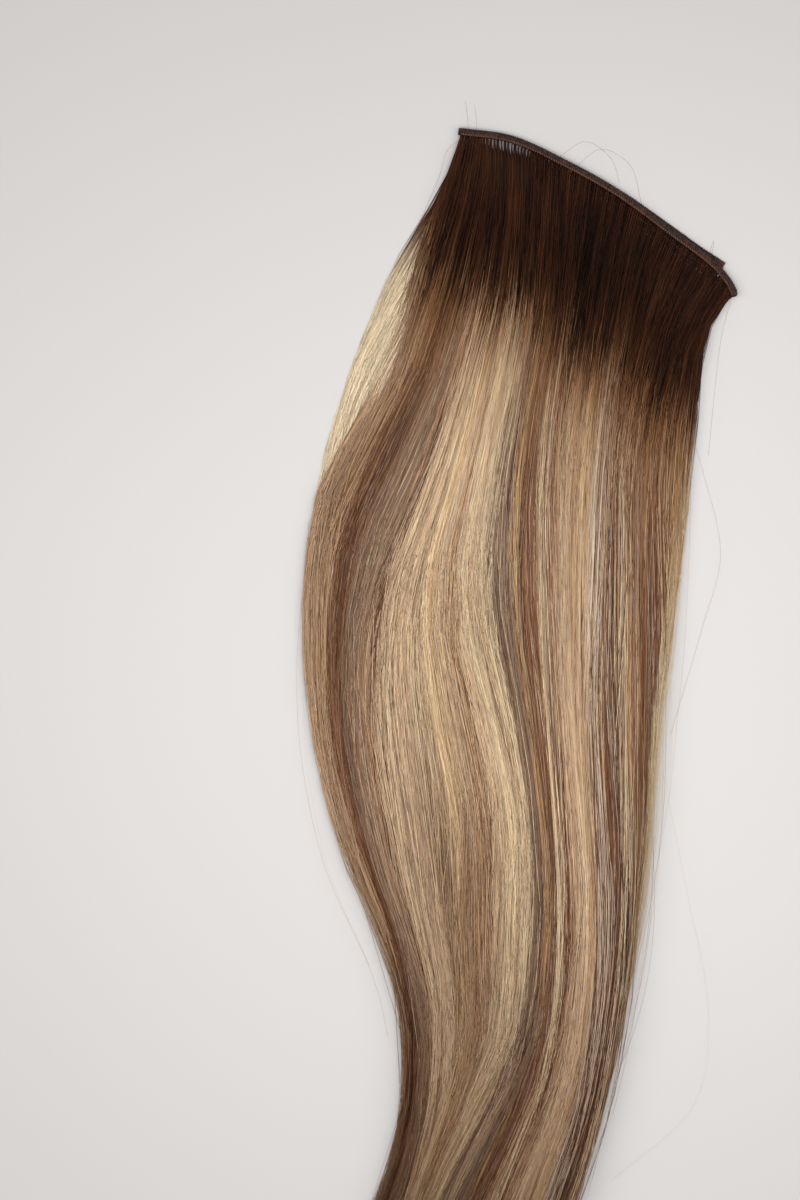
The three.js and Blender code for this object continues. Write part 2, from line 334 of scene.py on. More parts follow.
class Curtain:
    """One of the two curtains: its plan, its locks and the height of its hair."""

    # Share of a lock's rise that is left in the furrows beside it, and how far its arch goes on past them
    VALLEY = 0.55
    ARCH_END = 1.2

    # Share of the height that the outer edges keep, how many guides in, and from where to where it sets in
    EDGE_DROOP = 0.3
    EDGE_REACH = 0.5
    DROOP_START, DROOP_FULL = 15, 90

    # Gap over the lower curtain, how soon it opens, and the step in height from lock to lock
    LAYER_GAP = 0.5
    GAP_REACH = 6
    STAGGER = 0.5

    # Distance from the band in which the hair rises to its full height
    SETTLE = 75

    # Share by which strands that pass the right edge turn back under it
    TURN_BACK = 0.5

    def __init__(self, name, sizes):
        upper = name == "upper"
        self.name = name
        self.locks = UPPER_LOCKS if upper else LOWER_LOCKS
        self.run = BandRun(UPPER_RUN if upper else LOWER_RUN)
        self.plan = HairPlan(self.run, sizes.band_width / MM)
        self.length = sizes.hair_length / MM
        layer = (sizes.band_thickness + sizes.fold_gap) / MM
        self.start = layer if upper else 0
        self.root_height = self.start + sizes.band_thickness / MM / 2

    def lock_of(self, guide):
        """Number of the lock that a guide number falls in."""
        ends = [row["end"] for row in self.locks]
        return np.minimum(np.searchsorted(ends, guide), len(ends) - 1)

    def column(self, lock, name):
        """A column of the table of locks, for lock numbers."""
        return np.array([row[name] for row in self.locks], float)[lock]

    def base(self, lock, along):
        """Height of the underside of a lock."""
        if self.name == "lower":
            return np.zeros_like(along)
        lift = read_table(RISES, "lower", along) - RISES[0]["lower"]
        gap = self.LAYER_GAP * smoothstep(along, 0, self.GAP_REACH)
        stagger = (lock % 2) * self.STAGGER * smoothstep(along, 0, ROOT_REACH)
        return self.start + lift + gap + stagger

    def droop(self, guide, along):
        """Share of the height that is left towards the two outer edges of the curtain."""
        inward = np.minimum(guide, LAST_GUIDE - guide)
        kept = self.EDGE_DROOP + (1 - self.EDGE_DROOP) * smoothstep(inward, 0, self.EDGE_REACH)
        return 1 - (1 - kept) * smoothstep(along, self.DROOP_START, self.DROOP_FULL)

    def top(self, lock, guide, along):
        """Height of the top of a lock."""
        start, end = self.column(lock, "start"), self.column(lock, "end")
        across = (guide - start) / (end - start) * 2 - 1
        across = np.clip(across, -self.ARCH_END, self.ARCH_END)
        arch = self.VALLEY + (1 - self.VALLEY) * (1 - across * across)
        rise = read_table(RISES, self.name, along) * self.column(lock, "share")
        full = (self.base(lock, along) + rise * arch) * self.droop(guide, along)
        settle = smoothstep(along, 0, self.SETTLE)
        return self.root_height * (1 - settle) + full * settle

    def drift(self, guide, along):
        """Guide number that a strand drifts to, and how far it has gone under the right edge."""
        moved = guide + 0 * along
        if self.name == "upper":
            alongs = [row["along"] for row in DRIFTS]
            for row, weights in zip(DRIFTS, np.eye(len(DRIFTS))):
                shift = np.interp(guide, DRIFT_GUIDES, row["shifts"])
                moved = moved + np.interp(along, alongs, weights) * shift
        inset = read_table(FRINGE, "inset", along)
        under = np.maximum(moved - LAST_GUIDE + inset, 0)
        return np.minimum(moved, LAST_GUIDE - inset) - self.TURN_BACK * under, under

    def drawn_in(self, guide, along):
        """Guide number drawn in from the right edge of the plan, so that a fringe is left there."""
        return guide - read_table(FRINGE, "inset", along) * np.clip(guide - LAST_GUIDE + 1, 0, 1)

    def give_way(self, guide, along):
        """Distance to the right that the left edge gives way, so that the other curtain shows or hides."""
        back = read_table(EDGE_BACK, self.name, along)
        return back * np.clip(1 - guide / BACK_REACH, 0, 1)


# Helpers of the meshes

def piece_from(name, mesh):
    """A new object at the origin for a finished mesh."""
    piece = bpy.data.objects.new(name, mesh)
    bpy.context.collection.objects.link(piece)
    return piece


def lofted_mesh(name, rings, chart):
    """Joined closed lofts: rings holds loft, ring, corner and place, and chart each corner's map."""
    lofts, steps, corners = rings.shape[:3]
    number = np.arange(lofts * steps * corners).reshape(lofts, steps, corners)
    turned = np.roll(number, -1, axis=2)
    walls = np.stack([number[:, :-1], number[:, 1:], turned[:, 1:], turned[:, :-1]], axis=-1)
    loops = np.concatenate([walls.ravel(), number[:, 0].ravel(), number[:, -1, ::-1].ravel()])
    sizes = np.concatenate([np.full(walls.size // 4, 4), np.full(2 * lofts, corners)])
    starts = np.cumsum(sizes) - sizes
    mesh = bpy.data.meshes.new(name)
    mesh.vertices.add(number.size)
    mesh.vertices.foreach_set("co", (rings * MM).astype(np.float32).ravel())
    mesh.loops.add(len(loops))
    mesh.loops.foreach_set("vertex_index", loops.astype(np.int32))
    mesh.polygons.add(len(sizes))
    mesh.polygons.foreach_set("loop_start", starts.astype(np.int32))
    mesh.update(calc_edges=True)
    layer = mesh.uv_layers.new(name=CHART)
    layer.uv.foreach_set("vector", chart.reshape(-1, 2)[loops].astype(np.float32).ravel())
    mesh.shade_smooth()
    return mesh


def tube_rings(paths, radii, sides, up=(0, 0, 1)):
    """Rings round paths: paths holds tube, station and place, and radii each station's radius."""
    along = np.gradient(paths, axis=1)
    along = along / np.linalg.norm(along, axis=-1, keepdims=True)
    right = np.cross(along, np.broadcast_to(up, along.shape))
    right = right / np.linalg.norm(right, axis=-1, keepdims=True)
    over = np.cross(right, along)
    turns = np.arange(sides) * 2 * math.pi / sides + math.pi / 2
    ring = right[:, :, None] * np.cos(turns)[:, None] + over[:, :, None] * np.sin(turns)[:, None]
    return paths[:, :, None] + ring * radii[:, :, None, None]


def on_chart(share, rim=CHART_RIM):
    """Places on the chart, kept clear of its rim."""
    return np.clip(share, rim, 1 - rim)


def tube_chart(across, along, sides, width):
    """Map of tubes: across is each tube's place on the chart, along that of each station."""
    turns = np.arange(sides) * 2 * math.pi / sides
    u = across[:, None, None] + width * np.sin(turns)[None, None]
    u = np.broadcast_to(u, along.shape + (sides,))
    v = np.broadcast_to(along[:, :, None], u.shape)
    return on_chart(np.stack([u, v], axis=-1), SIDE_RIM)


def chart_across(guide):
    """Place on the chart of a guide number."""
    return FAIR_SHARE + (1 - FAIR_SHARE) * on_chart(np.asarray(guide) / LAST_GUIDE)


# Helpers of the materials

def linear(colour):
    """Scene colour of a display colour."""
    return [c / 12.92 if c <= 0.04045 else ((c + 0.055) / 1.055) ** 2.4 for c in colour] + [1.0]


def plug(tree, socket, value):
    """Links a socket to another, or sets its value."""
    if isinstance(value, bpy.types.NodeSocket):
        tree.links.new(value, socket)
    else:
        socket.default_value = value


def fill(tree, made, **inputs):
    """Links or sets a node's inputs by name."""
    for name, value in inputs.items():
        plug(tree, made.inputs[name.replace("_", " ")], value)


def node(tree, kind, settings=None, **inputs):
    """A node with its settings, and its inputs linked or set by name."""
    made = tree.nodes.new(kind)
    for name, value in (settings or {}).items():
        setattr(made, name, value)
    fill(tree, made, **inputs)
    return made


def result(tree, kind, settings, *values):
    """The first output of a node, with its first inputs linked or set in order."""
    made = node(tree, kind, settings)
    for socket, value in zip(made.inputs, values):
        plug(tree, socket, value)
    return made.outputs[0]


def maths(tree, operation, *values):
    """A Math node's result."""
    return result(tree, "ShaderNodeMath", {"operation": operation}, *values)


def mixed(tree, factor, a, b, blend="MIX"):
    """A colour Mix node's result. Its colours are the sockets 6 and 7, and their mix is the third output."""
    made = node(tree, "ShaderNodeMix", {"data_type": "RGBA", "blend_type": blend}, Factor=factor)
    plug(tree, made.inputs[6], a)
    plug(tree, made.inputs[7], b)
    return made.outputs[2]


def ranged(tree, value, low, high, to_low=0.0, to_high=1.0, smooth=False):
    """A Map Range node's result."""
    settings = {"interpolation_type": "SMOOTHSTEP" if smooth else "LINEAR"}
    return result(tree, "ShaderNodeMapRange", settings, value, low, high, to_low, to_high)


def around(tree, value, middle, inside, outside, at=1.0, off=0.0):
    """A value round a middle, which turns into another further off."""
    away = maths(tree, "ABSOLUTE", maths(tree, "SUBTRACT", value, middle))
    return ranged(tree, away, inside, outside, at, off)


def stretched_noise(tree, chart, across, along, detail=1.0, start=0.0):
    """Noise on the chart, with so many cells across it and along it, from its own start."""
    cells, offset = (across, along, 0), (start, start, 0)
    scaled = result(tree, "ShaderNodeVectorMath", {"operation": "MULTIPLY_ADD"}, chart, cells, offset)
    made = node(
        tree, "ShaderNodeTexNoise", {"noise_dimensions": "2D"}, Vector=scaled, Scale=1.0, Detail=detail
    )
    return made.outputs[0]


def shaded(tree, colour, shade):
    """A colour made darker or lighter by a value."""
    grey = node(tree, "ShaderNodeCombineColor", Red=shade, Green=shade, Blue=shade)
    return mixed(tree, 1.0, colour, grey.outputs[0], "MULTIPLY")


def new_material(name):
    """A new material, its tree and its shader."""
    material = bpy.data.materials.new(name)
    material.use_nodes = True
    tree = material.node_tree
    return material, tree, tree.nodes["Principled BSDF"]


# Finishes

def hair_tones_and_shade(colours):
    """Node group that colours hair by its chart: rooted streaks with strand to strand variation, and painted
    shade, sheen and glints laid into that colour.
    """
    group = bpy.data.node_groups.get("hair_tones_and_shade")
    if group:
        return group
    group = bpy.data.node_groups.new("hair_tones_and_shade", "ShaderNodeTree")
    sockets = (("Chart", "INPUT", "Vector"), ("Colour", "OUTPUT", "Color"), ("Strands", "OUTPUT", "Float"))
    for name, way, kind in sockets:
        group.interface.new_socket(name, in_out=way, socket_type=f"NodeSocket{kind}")
    chart = group.nodes.new("NodeGroupInput").outputs["Chart"]
    out = group.nodes.new("NodeGroupOutput")
    parts = node(group, "ShaderNodeSeparateXYZ", Vector=chart)
    across, along = parts.outputs["X"], parts.outputs["Y"]
    strands = stretched_noise(group, chart, 520, 3.0, 2.0)

    lengths = length_tones(group, colours, chart, across, along, strands)
    # Painted shade: the lengths tinted with the shade colour, as far as the shadow mask reaches
    lengths_in_shade = mixed(group, 1.0, lengths, linear(colours.shade), "MULTIPLY")
    lengths = mixed(group, length_shadow(group, across, along, strands), lengths, lengths_in_shade)
    roots = root_tones(group, colours, chart, across, along)
    melt = root_melt(group, chart, across, along)
    rooted = mixed(group, ranged(group, melt, 0.0, 0.55), roots, linear(colours.melt))
    colour = mixed(group, ranged(group, melt, 0.35, 1.0), rooted, lengths)
    fill(group, out, Colour=colour, Strands=strands)
    return group


def length_tones(group, colours, chart, across, along, strands):
    """Colour of the lengths: streaks across the weft, the fair lock, low and high lights on strands, and a
    painted sheen that lightens some strands.
    """
    sway = ranged(group, stretched_noise(group, chart, 9, 2.2), 0.25, 0.75, -0.003, 0.003)
    swayed = maths(group, "ADD", across, sway)
    left = streak_ramp(group, swayed, LEFT_STREAKS, colours)
    right = streak_ramp(group, swayed, RIGHT_STREAKS, colours)
    split = chart_across([LEFT_STREAKS[-1][0], RIGHT_STREAKS[0][0]])
    tones = mixed(group, ranged(group, swayed, *split), left, right)
    young = ranged(group, along, 0.15, 0.26, 0.5, 0.0)
    fair = maths(group, "LESS_THAN", across, FAIR_SHARE)
    low = ranged(group, stretched_noise(group, chart, 640, 1.4, 1.0, 3.7), 0.56, 0.68, 0.0, 0.55)
    high = ranged(group, stretched_noise(group, chart, 570, 1.8, 1.0, 8.1), 0.58, 0.7, 0.0, 0.4)
    for mask, name in ((young, "honey"), (fair, "fair"), (low, "russet"), (high, "silver")):
        tones = mixed(group, mask, tones, linear(getattr(colours, name)))
    # Painted sheen: strands on the high side of the noise whose low side is painted shade are lightened
    return shaded(group, tones, ranged(group, strands, 0.45, 0.72, 1.0, 1.3))


def length_shadow(group, across, along, strands):
    """Mask of the shade on the lengths: the deepest of four broad shadows, and the dark side of strands."""
    fair = maths(group, "LESS_THAN", across, FAIR_SHARE)
    ends = ranged(group, along, 0.54, 0.86, 0.0, 0.42)
    left_ends = ranged(group, across, 0.18, 0.3, 0.6, 0.0)
    left_ends = maths(group, "MULTIPLY", ranged(group, along, 0.6, 0.8), left_ends)
    sides = maths(group, "SUBTRACT", around(group, across, 0.38, 0.1, 0.2, 0.0, 1.0), fair)
    sides = maths(group, "MULTIPLY", ranged(group, along, 0.16, 0.28, 0.2, 0.0), sides)
    hollow = around(group, across, 0.335, 0.02, 0.05, 0.6)
    hollow = maths(group, "MULTIPLY", ranged(group, along, 0.52, 0.62), hollow)
    deepest = ends
    for shadow in (left_ends, sides, hollow):
        deepest = maths(group, "MAXIMUM", deepest, shadow)
    return maths(group, "ADD", deepest, ranged(group, strands, 0.28, 0.5, 0.45, 0.0))


def root_tones(group, colours, chart, across, along):
    """Colour of the dark roots: glints on strands and at both edges, painted shade between tufts with painted
    sheen on them, and one patch of painted shade.
    """
    # Painted highlights: glints on single root strands, and along both edges of the roots
    glints = ranged(group, stretched_noise(group, chart, 480, 5.0, 2.0, 1.9), 0.46, 0.66)
    left = ranged(group, across, FAIR_SHARE * 1.1, FAIR_SHARE * 1.6, 0.8, 0.0)
    right = ranged(group, across, 0.96, 0.99, 0.0, 0.8)
    for edge in (left, right):
        glints = maths(group, "MAXIMUM", glints, edge)
    roots = mixed(group, glints, linear(colours.root), linear(colours.root_glint))
    # Painted shade in dark bands between tufts of roots, with painted sheen between them
    wisps = ranged(group, stretched_noise(group, chart, 34, 4.0, 2.0, 6.4), 0.3, 0.7, 0.6, 1.2)
    # Painted shade: one darker patch where the roots catch less light
    shade_patch = around(group, along, 0.05, 0.02, 0.05, 0.42)
    shade_patch = maths(group, "MULTIPLY", around(group, across, 0.725, 0.05, 0.14), shade_patch)
    for shade in (wisps, maths(group, "SUBTRACT", 1.0, shade_patch)):
        roots = shaded(group, roots, shade)
    return roots


def streak_ramp(group, across, streaks, colours):
    """A stepped colour ramp across the weft, where each streak of a chart ends halfway to the next."""
    made = node(group, "ShaderNodeValToRGB", Fac=across)
    made.color_ramp.interpolation = "CONSTANT"
    stops = made.color_ramp.elements
    stops.remove(stops[-1])
    stops[0].color = linear(getattr(colours, streaks[0][1]))
    for (before, _), (guide, name) in zip(streaks, streaks[1:]):
        stops.new(chart_across((before + guide) / 2)).color = linear(getattr(colours, name))
    return made.outputs["Color"]


def root_melt(group, chart, across, along):
    """Mask that is 0 on the dark roots and 1 on the lengths, strand by strand."""
    share = {name: distance / CHART_LENGTH for name, distance in MELT.items()}
    start = ranged(group, across, FAIR_SHARE * 0.9, FAIR_SHARE, share["fair"], share["start"])
    left = ranged(group, across, FAIR_SHARE, FAIR_SHARE * 1.5, share["left_sooner"], 0.0)
    right = ranged(group, across, 0.965, 0.99, 0.0, share["right_sooner"])
    for sooner in (left, right):
        start = maths(group, "SUBTRACT", start, sooner)
    wisps = ranged(group, stretched_noise(group, chart, 60, 0.5, 1.0, 5.3), 0.3, 0.7, -0.014, 0.016)
    strands = ranged(group, stretched_noise(group, chart, 430, 1.0, 2.0, 2.6), 0.25, 0.75, -0.04, 0.045)
    centre = maths(group, "ADD", start, maths(group, "ADD", wisps, strands))
    low = maths(group, "SUBTRACT", centre, share["reach"])
    high = maths(group, "ADD", centre, share["reach"])
    return ranged(group, along, low, high, smooth=True)


def hair_material(colours, name="rooted_hair", bump=0.0, shade=1.0):
    """Rooted, streaked hair on the pieces' own chart. Its strands may be raised, and its colour darkened by a
    painted shade.
    """
    ready = bpy.data.materials.get(name)
    if ready:
        return ready
    material, tree, shader = new_material(name)
    chart = node(tree, "ShaderNodeUVMap", {"uv_map": CHART}).outputs["UV"]
    tones = node(tree, "ShaderNodeGroup", {"node_tree": hair_tones_and_shade(colours)}, Chart=chart)
    strands = tones.outputs["Strands"]
    colour = shaded(tree, tones.outputs["Colour"], shade)
    gloss = ranged(tree, strands, 0.3, 0.7, 0.34, 0.48)
    fill(tree, shader, Base_Color=colour, Roughness=gloss, IOR=1.3, Specular_IOR_Level=0.2, Metallic=0.2)
    if bump:
        raised = node(tree, "ShaderNodeBump", Height=strands, Strength=0.8, Distance=bump)
        fill(tree, shader, Normal=raised.outputs["Normal"])
    return material


def band_material(colours):
    """Dark felted band with lighter fibres and worn places."""
    material, tree, shader = new_material("band_felt")
    place = node(tree, "ShaderNodeTexCoord").outputs["Object"]
    felt = node(tree, "ShaderNodeTexNoise", Vector=place, Scale=1100.0, Detail=4.0).outputs[0]
    worn = node(tree, "ShaderNodeTexNoise", Vector=place, Scale=120.0, Detail=2.0).outputs[0]
    shade = mixed(tree, ranged(tree, felt, 0.4, 0.64), linear(colours.band), linear(colours.band_light))
    colour = mixed(tree, ranged(tree, worn, 0.5, 0.75, 0.0, 0.15), shade, linear(colours.seam))
    rough = ranged(tree, felt, 0.2, 0.8, 0.75, 0.95)
    raised = node(tree, "ShaderNodeBump", Height=felt, Strength=0.7, Distance=0.0003).outputs["Normal"]
    fill(tree, shader, Base_Color=colour, Roughness=rough, Specular_IOR_Level=0.15, Normal=raised)
    return material


def thread_material(name, colour, light):
    """Twisted sewing thread, on the stitches' own chart."""
    material, tree, shader = new_material(name)
    chart = node(tree, "ShaderNodeUVMap", {"uv_map": CHART}).outputs["UV"]
    fibres = stretched_noise(tree, chart, 900, 14, 2.0)
    shade = mixed(tree, ranged(tree, fibres, 0.36, 0.62), linear(colour), linear(light))
    rough = ranged(tree, fibres, 0.2, 0.8, 0.6, 0.85)
    fill(tree, shader, Base_Color=shade, Roughness=rough, Specular_IOR_Level=0.2)
    return material


def table_material(colours):
    """Plain pale table, with faint painted shading in broad patches."""
    material, tree, shader = new_material("pale_table")
    place = node(tree, "ShaderNodeTexCoord").outputs["Object"]
    # Painted shading: broad faint patches where the table is a little lighter
    faint_shading = node(tree, "ShaderNodeTexNoise", Vector=place, Scale=3.0, Detail=2.0).outputs[0]
    lighter = [min(1.0, c * 1.02) for c in colours.table]
    shade = mixed(tree, faint_shading, linear(colours.table), linear(lighter))
    fill(tree, shader, Base_Color=shade, Roughness=0.7)
    return material


# Settings

def tone(name, description, red, green, blue):
    """A display colour that a user may change, from three numbers up to 255."""
    default = (red / 255, green / 255, blue / 255)
    return FloatVectorProperty(
        name=name, description=description, default=default, subtype="COLOR_GAMMA", min=0, max=1
    )


def size(name, description, millimetres):
    """A length that a user may change, from millimetres."""
    return FloatProperty(
        name=name, description=description, default=millimetres * MM, unit="LENGTH", subtype="DISTANCE"
    )


def curtain_choice(description):
    """A choice of one of the two curtains."""
    items = [("upper", "Upper", "Upper curtain"), ("lower", "Lower", "Lower curtain")]
    return EnumProperty(name="Curtain", description=description, items=items)


class WeftSizes(bpy.types.PropertyGroup):
    """Sizes of the weft's pieces"""

    hair_length: size("Hair length", "Longest strand, from the band to its tip", 610)
    band_width: size("Band width", "Width of the sewn band", 3.4)
    band_thickness: size("Band thickness", "Thickness of one layer of the band", 1.1)
    fold_gap: size("Fold gap", "Gap between the two halves of the band", 0.4)
    stitch_pitch: size("Stitch pitch", "Distance from stitch to stitch along the band", 1.3)
    thread: size("Thread", "Diameter of the sewing thread", 0.42)
    strand: size("Strand", "Diameter of a drawn strand, which stands for a few hairs", 0.29)
    flyaway: size("Flyaway", "Diameter of a single flyaway hair", 0.11)
    wisps: IntProperty(name="Wisps", description="Wisps in each piece of strands", default=88, min=1)
    wisp_strands: IntProperty(name="Strands", description="Strands in a wisp", default=20, min=1)


class WeftColours(bpy.types.PropertyGroup):
    """Colours of the weft and its table"""

    root: tone("Root", "Dark of the rooted hair", 28, 14, 9)
    # Root glint is a painted highlight on root strands and along both edges
    root_glint: tone("Root glint", "Lighter strands among the roots", 92, 53, 31)
    melt: tone("Melt", "Warm brown where the roots turn into the lengths", 128, 86, 54)
    shade: tone("Shade", "Tint of the lengths in the shade", 158, 126, 100)
    umber: tone("Umber", "Darkest streaks", 92, 68, 54)
    dark_brown: tone("Dark brown", "Low lights of the lengths", 110, 73, 50)
    russet: tone("Russet", "Reddish low lights", 122, 80, 56)
    brown: tone("Brown", "Middle brown of the lengths", 148, 109, 79)
    honey: tone("Honey", "Golden brown streaks", 174, 134, 94)
    ash: tone("Ash", "Greyish streaks", 150, 124, 102)
    light_brown: tone("Light brown", "Light brown of the lengths", 196, 164, 132)
    beige: tone("Beige", "Beige of the lengths", 215, 188, 156)
    silver: tone("Silver", "Pale ash streaks", 212, 196, 178)
    golden: tone("Golden", "Golden streaks", 208, 175, 130)
    cream: tone("Cream", "Lightest streaks", 227, 207, 172)
    fair: tone("Fair", "Fair lock under the left edge", 238, 222, 192)
    band: tone("Band", "Dark of the band", 28, 19, 19)
    band_light: tone("Band light", "Lighter fibres of the band", 76, 58, 53)
    seam: tone("Seam", "Thread of the seam", 164, 106, 74)
    table: tone("Table", "The table that the weft lies on", 206, 203, 202)


# Strands

# Distances from the band at which the wisps are spread, the share near it, and the lower curtain's lean
NEAR_SPREAD, FAR_SPREAD = 120.0, 280.0
NEAR_WISPS = 0.45
LOWER_LEAN = 1.7

# Length that strands lose at the tip: a share of their lock's loss, and a random one with a mean and a limit
LOCK_LOSS = 0.6
MEAN_LOSS, MOST_LOSS = 20, 170

# Distances from the band over which strands begin to wander, join their wisps and stand clear of the roots
WANDER_REACH = (0, 70)
JOIN_REACH = (15, 150)
CLEAR_REACH = (5, 60)

# Tufts of closed stretches of the band: their half width in shares of a stitch, and how far down they last
TUFT_HALF, TUFT_LASTS = 0.36, 24.0

# Slow waves that neighbouring wisps share: swing in guide numbers, pitch, turn from guide to guide, start
RIPPLES = ((0.04, 32, 2.1, 0), (0.03, 55, -3.3, 1))

# Distance from the band at which the breadth between guides is read
BREADTH_AT = 200.0

# Share of its thickness that a strand loses at its tip, and the share of its length from which it thins
TIP_THINS, THINS_FROM = 0.75, 0.82

# Gap that is left over the table
TABLE_GAP = 0.02


def spread_wisps(curtain, count, rng):
    """Guide numbers of wisps, some spread over the hair's width near its roots, and the rest further on.

    The upper curtain's are spread evenly, and the lower one's are closer together at the left, which shows.
    """
    lean = 1.0 if curtain.name == "upper" else LOWER_LEAN
    samples = 500
    guides = np.linspace(0, LAST_GUIDE, samples)
    first = int(count * NEAR_WISPS)
    wisps = []
    for distance, share in ((NEAR_SPREAD, first), (FAR_SPREAD, count - first)):
        along = np.full(samples, distance)
        followed, under = curtain.drift(guides, along)
        places = curtain.plan.place(followed, along)
        steps = np.linalg.norm(np.diff(places, axis=0), axis=1) * (under[1:] == 0)
        width = np.concatenate([[0], np.cumsum(steps)])
        even = ((np.arange(share) + rng.uniform(0, 1, share)) / share) ** lean * width[-1]
        wisps.extend(np.interp(even, width, guides))
    return np.sort(wisps)


def stations(lengths, rng):
    """Distances from the band of each strand's stations, close together at the root and uneven below it."""
    first = np.array(ROOT_STATIONS)
    uneven = rng.uniform(-UNEVEN, UNEVEN, (len(lengths), LONG_STATIONS))
    numbers = np.arange(1, LONG_STATIONS + 1) + uneven
    numbers[:, -1] = LONG_STATIONS
    later = first[-1] + (lengths - first[-1]) * numbers / LONG_STATIONS
    return np.concatenate([np.broadcast_to(first, (len(lengths), len(first))), later], axis=1)


def tuft_shift(curtain, guide, pitch, rng):
    """Shift along the band that gathers a strand's root into a stitch's tuft, and how far that lasts."""
    travelled = curtain.plan.root_share(guide) * curtain.run.length
    tuft, half, lasts = (np.full(len(guide), value) for value in (pitch, TUFT_HALF, TUFT_LASTS))
    # The tufts of open stretches are uneven, and come apart again sooner the narrower they are
    for stretch in OPEN_TUFTS:
        way = (travelled - stretch["start"]) / (stretch["end"] - stretch["start"])
        inside = (way > 0) & (way < 1)
        tuft = np.where(inside, stretch["stitches"] * pitch, tuft)
        uneven = 0.75 + 0.25 * np.sin(2.4 * np.floor(travelled / tuft))
        gap = stretch["open"] * np.sqrt(np.sin(math.pi * np.clip(way, 0, 1))) * uneven
        half = np.where(inside, 0.5 - 0.45 * gap, half)
        lasts = np.where(inside, 3 + 5 * gap, lasts)
    middle = (np.floor(travelled / tuft) + 0.5) * tuft
    return (middle + half * tuft * rng.uniform(-1, 1, len(guide)) - travelled)[:, None], lasts[:, None]


def even_roots(guide, order):
    """Guide numbers of roots, spread evenly from one guide strand to the next and kept in an order."""
    root = np.empty(len(guide))
    for number in range(LAST_GUIDE):
        inside = np.flatnonzero(np.minimum(guide.astype(int), LAST_GUIDE - 1) == number)
        ranks = np.argsort(np.argsort(order[inside]))
        root[inside] = number + (ranks + 0.5) / len(inside)
    return root


def ripple(guide, along):
    """Slow sideways wave that neighbouring wisps share, in guide numbers."""
    return sum(swing * np.sin(along / pitch + turn * guide + start) for swing, pitch, turn, start in RIPPLES)


class Draws:
    """Random values of the wisps of a piece and of their strands, in columns with a row for each strand."""

    def __init__(self, rng, wisps, each):
        self.rng = rng
        self.wisps = wisps
        self.each = each

    def repeat(self, values):
        """A column of the wisps' values, repeated for each of their strands."""
        return np.repeat(values, self.each)[:, None]

    def wisp(self, low, high):
        """One value for each wisp."""
        return self.repeat(self.rng.uniform(low, high, self.wisps))

    def strand(self, low, high):
        """One value for each strand."""
        return self.rng.uniform(low, high, self.wisps * self.each)[:, None]


def wave(along, draw, *pitch):
    """Wave down the hair, with a pitch and a start of their own for each wisp or strand."""
    return np.sin(along / draw(*pitch) + draw(*PHASE))


def strand_heights(curtain, lock, followed, along, under, aside, draws):
    """Heights of strands: each wisp is rounded, lies deep or high, and goes down under the right edge."""
    tops = [curtain.top(number, followed, along) for number in (lock, curtain.lock_of(followed))]
    top = np.maximum(*tops)
    body = np.sqrt(1 - aside * aside) * draws.wisp(0.2, 0.6)
    depth = draws.wisp(-0.3, 0.5) + draws.strand(0, 0.6)
    clear = smoothstep(along, *CLEAR_REACH)
    height = top + (body - depth) * clear + draws.strand(-0.25, 0.3) * (1 - clear)
    return height - 0.6 * top * smoothstep(under, 0, 0.4)


def strand_paths(curtain, sizes, wisps, rng):
    """Paths, radii and charts of the strands of wisps at guide numbers."""
    draws = Draws(rng, len(wisps), sizes.wisp_strands)
    guide = draws.repeat(wisps)
    count = len(guide)
    lock = curtain.lock_of(guide)
    lost = np.minimum(rng.exponential(MEAN_LOSS, (count, 1)), MOST_LOSS)
    lost = lost + LOCK_LOSS * curtain.column(lock, "shorter")
    along = stations(curtain.length - lost, rng)
    free = smoothstep(along, *WANDER_REACH)
    joined = smoothstep(along, *JOIN_REACH)
    tip = along / along[:, -1:]

    aside = draws.strand(-1, 1)
    root = even_roots(guide[:, 0], np.arange(count) // draws.each + 0.6 * aside[:, 0])[:, None]
    sway = (0.4 + 2.5 * draws.wisp(0, 1) ** 3) * wave(along, draws.wisp, 60, 110)
    stray = (0.3 + 5 * draws.strand(0, 1) ** 4) * wave(along, draws.strand, 28, 75)
    per_guide = curtain.plan.breadth(guide, np.full(guide.shape, BREADTH_AT))
    wander = (sway + stray) / per_guide + ripple(guide, along)
    drifted, under = curtain.drift(guide, along)
    edge = curtain.drawn_in(np.full(along.shape, float(LAST_GUIDE)), along)
    followed = np.clip(root + (drifted - root) * joined + wander * free, 0, edge)
    place = curtain.plan.place(followed, along)
    place = place + curtain.give_way(followed, along)[..., None] * GIVE_WAY

    loose = 0.75 + 0.25 * wave(along, draws.wisp, 50, 90)
    breadth = draws.wisp(0.8, 2.4)
    step = 0.03
    fan = (curtain.drift(guide + step, along)[0] - curtain.drift(guide - step, along)[0]) / (2 * step)
    spread = aside * breadth * loose * (1 + 1.2 * tip ** 6) * joined * np.clip(fan, 1, 3)
    spread = spread + draws.strand(0.05, 0.4) * wave(along, draws.strand, 14, 30) * free
    place = place + curtain.plan.rightward(followed, along) * spread[..., None]

    shift, lasts = tuft_shift(curtain, root[:, 0], sizes.stitch_pitch / MM, rng)
    gathered = (1 - smoothstep(along / lasts, 0.5, 1)) * shift
    place = place + curtain.run.direction(curtain.plan.root_share(root)) * gathered[..., None]

    height = strand_heights(curtain, lock, followed, along, under, aside, draws)
    taper = 1 - TIP_THINS * smoothstep(tip, THINS_FROM, 1)
    radius = sizes.strand / MM / 2 * draws.strand(0.75, 1.15) * taper
    height = np.maximum(height, radius + TABLE_GAP)
    paths = np.concatenate([place, height[..., None]], axis=-1)

    toned = strand_tones(curtain, (guide + aside * breadth * 0.75 / per_guide)[:, 0], draws.each, rng)
    chart = tube_chart(toned, on_chart(along / curtain.length), STRAND_SIDES, 0.0003)
    return paths, radius, chart


